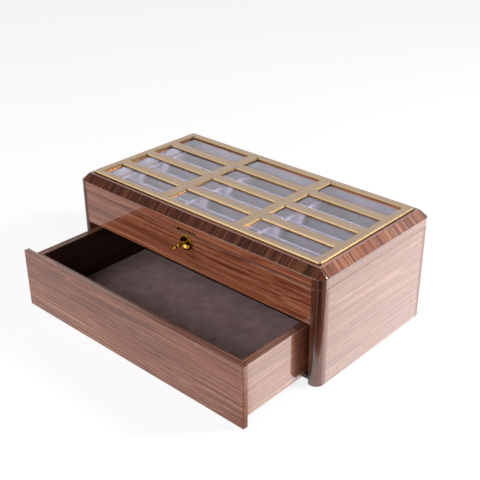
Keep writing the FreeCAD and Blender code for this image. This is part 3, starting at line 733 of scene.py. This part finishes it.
# Borders on the floor, in metres, between its painted bright and dim reflections.
LAMP_SIDE_SLOPE = -0.9
LAMP_SIDE_EDGE = (-0.53, -0.47)
BESIDE_BOX = (0.245, 0.262)
LEFT_SIDE_EDGE = (0.20, 0.30)


def camera():
    azimuth = math.radians(CAMERA_AZIMUTH)
    elevation = math.radians(CAMERA_ELEVATION)
    roll = math.radians(CAMERA_ROLL)
    back = Vector((math.sin(azimuth) * math.cos(elevation), -math.cos(azimuth) * math.cos(elevation),
                   math.sin(elevation)))
    right = Vector((math.cos(azimuth), math.sin(azimuth), 0))
    up = back.cross(right)
    turned_right = right * math.cos(roll) + up * math.sin(roll)
    turned_up = up * math.cos(roll) - right * math.sin(roll)
    data = bpy.data.cameras.new("camera")
    data.lens = SENSOR_WIDTH * FOCAL_PIXELS / PICTURE_PIXELS
    data.sensor_width = SENSOR_WIDTH
    view = bpy.data.objects.new("camera", data)
    matrix = Matrix((turned_right, turned_up, back)).transposed().to_4x4()
    matrix.translation = CAMERA_PLACE
    view.matrix_world = matrix
    bpy.context.collection.objects.link(view)
    bpy.context.scene.camera = view


def area_lamp(name, place, aim, size, power):
    data = bpy.data.lights.new(name, "AREA")
    data.shape = "RECTANGLE"
    data.size, data.size_y = size
    data.energy = power
    lamp = bpy.data.objects.new(name, data)
    lamp.location = place
    lamp.rotation_euler = (Vector(place) - Vector(aim)).to_track_quat("Z", "Y").to_euler()
    bpy.context.collection.objects.link(lamp)


def seen_in_surfaces(tree, path):
    # 1 for what the lacquer, the metal and the glass show.
    return calculate(tree, "MAXIMUM", path.outputs["Is Glossy Ray"], path.outputs["Is Transmission Ray"])


def painted_floor_reflection(tree, place):
    # Painted reflection: how bright the floor glows in the lacquer, brightest on the lamp's side,
    # white at the left, and painted dim towards the front right in place of a dark flag.
    x = part(tree, place, X)
    behind_edge = calculate(tree, "MULTIPLY_ADD", x, LAMP_SIDE_SLOPE, part(tree, place, Y))
    lamp_side = calculate(tree, "MULTIPLY", fade(tree, behind_edge, *LAMP_SIDE_EDGE),
                          fade(tree, x, *BESIDE_BOX))
    left_side = calculate(tree, "SUBTRACT", 1.0, fade(tree, x, *LEFT_SIDE_EDGE))
    strength = calculate(tree, "MULTIPLY_ADD", left_side, FLOOR_LEFT, FLOOR_PAINTED_DIM)
    return calculate(tree, "MULTIPLY_ADD", lamp_side, FLOOR_PAINTED_LAMP_SIDE, strength)


def stage():
    # A white floor that keeps the object's shadow.
    bpy.ops.object.select_all(action="DESELECT")
    bpy.ops.mesh.primitive_plane_add(size=FLOOR_SIZE, location=(0, 0, 0))
    floor = bpy.context.object
    floor.name = "floor"
    material = new_material("white_floor")
    tree = material.node_tree
    path = node(tree, "ShaderNodeLightPath")
    to_camera = path.outputs["Is Camera Ray"]
    mirrored = seen_in_surfaces(tree, path)
    own = mix(tree, to_camera, linear("b4b4b8"), linear("f4f4f6"))
    shader = node(tree, "ShaderNodeBsdfDiffuse", Color=own)
    # Painted reflection: the floor glows only for rays from lacquer, metal and glass.
    glow = calculate(tree, "MULTIPLY", mirrored, painted_floor_reflection(tree, object_place(tree)))
    glow = calculate(tree, "MULTIPLY_ADD", to_camera, FLOOR_GLOW, glow)
    emission = node(tree, "ShaderNodeEmission", Strength=glow)
    seen = calculate(tree, "MAXIMUM", to_camera, mirrored)
    share = calculate(tree, "MULTIPLY_ADD", to_camera, -FLOOR_SHADOW_SHARE, FLOOR_GLOW_SHARE)
    both = node(tree, "ShaderNodeMixShader", i0=calculate(tree, "MULTIPLY", seen, share),
                i1=shader.outputs[0], i2=emission.outputs[0])
    node(tree, "ShaderNodeOutputMaterial", Surface=both.outputs[0])
    floor.data.materials.append(material)


def studio():
    # White to the camera; in reflections a white sweep up to about 30 degrees above the
    # floor, and from about 34 degrees no more than the room's own light.
    world = bpy.data.worlds.new("studio")
    bpy.context.scene.world = world
    world.use_nodes = True
    tree = world.node_tree
    tree.nodes.clear()
    path = node(tree, "ShaderNodeLightPath")
    height = part(tree, node(tree, "ShaderNodeTexCoord").outputs["Generated"], Z)
    sweep = calculate(tree, "SUBTRACT", 1.0, fade(tree, height, SWEEP_TOP, DIM_FROM))
    sweep = calculate(tree, "MULTIPLY", sweep, 1 - ROOM_LIGHT)
    strength = calculate(tree, "MULTIPLY_ADD", seen_in_surfaces(tree, path), sweep, ROOM_LIGHT)
    strength = calculate(tree, "MULTIPLY_ADD", path.outputs["Is Camera Ray"], 1 - ROOM_LIGHT, strength)
    background = node(tree, "ShaderNodeBackground", Color=(1, 1, 1, 1), Strength=strength)
    node(tree, "ShaderNodeOutputWorld", Surface=background.outputs[0])


camera()
stage()
studio()
area_lamp("key_lamp", place=(1.70, 1.35, 1.50), aim=(0.1, 0, 0.1), size=(0.5, 0.5), power=62)
area_lamp("fill_lamp", place=(-1.0, -1.9, 1.6), aim=(0, -0.1, 0.1), size=(1.4, 1.2), power=23)
area_lamp("front_lamp", place=(0.15, -1.7, 1.0), aim=(0, -0.1, 0.1), size=(0.5, 0.6), power=8)

bpy.context.scene.view_settings.view_transform = "Standard"
